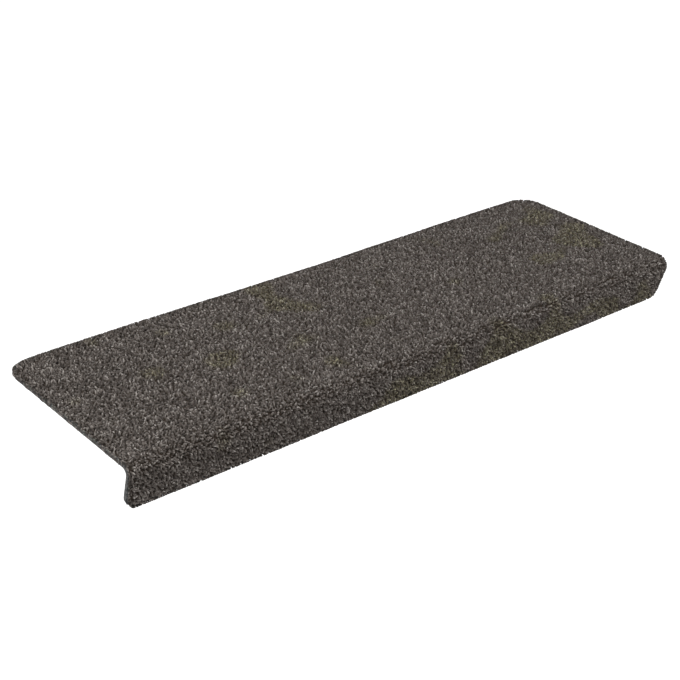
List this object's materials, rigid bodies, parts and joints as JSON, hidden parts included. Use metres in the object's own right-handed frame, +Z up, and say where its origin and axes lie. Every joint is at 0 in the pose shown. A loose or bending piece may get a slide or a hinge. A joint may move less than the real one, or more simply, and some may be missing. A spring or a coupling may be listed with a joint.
{
  "type": "anti slip stair tread mat",
  "caption": "Carpet mat for one stair tread: a long rounded rectangle of curled pile on a grippy backing, its front edge folded down over the step's nosing.",
  "frame": {"origin": "centre of the flat underside of the tread, where the mat lies on the step", "axes": "+X along the step's width, +Y towards the riser behind the step, +Z up out of the pile; the nose hangs down at -Y"},
  "size_m": [0.65, 0.2109, 0.049],
  "materials": {
    "pile": "matt curled pile, warm dark grey with paler and browner tufts",
    "backing": "matt, cool mid grey"
  },
  "bodies": {
    "root": {"carpet_pile": "pile", "anti_slip_backing": "backing"}
  },
  "joints": []
}
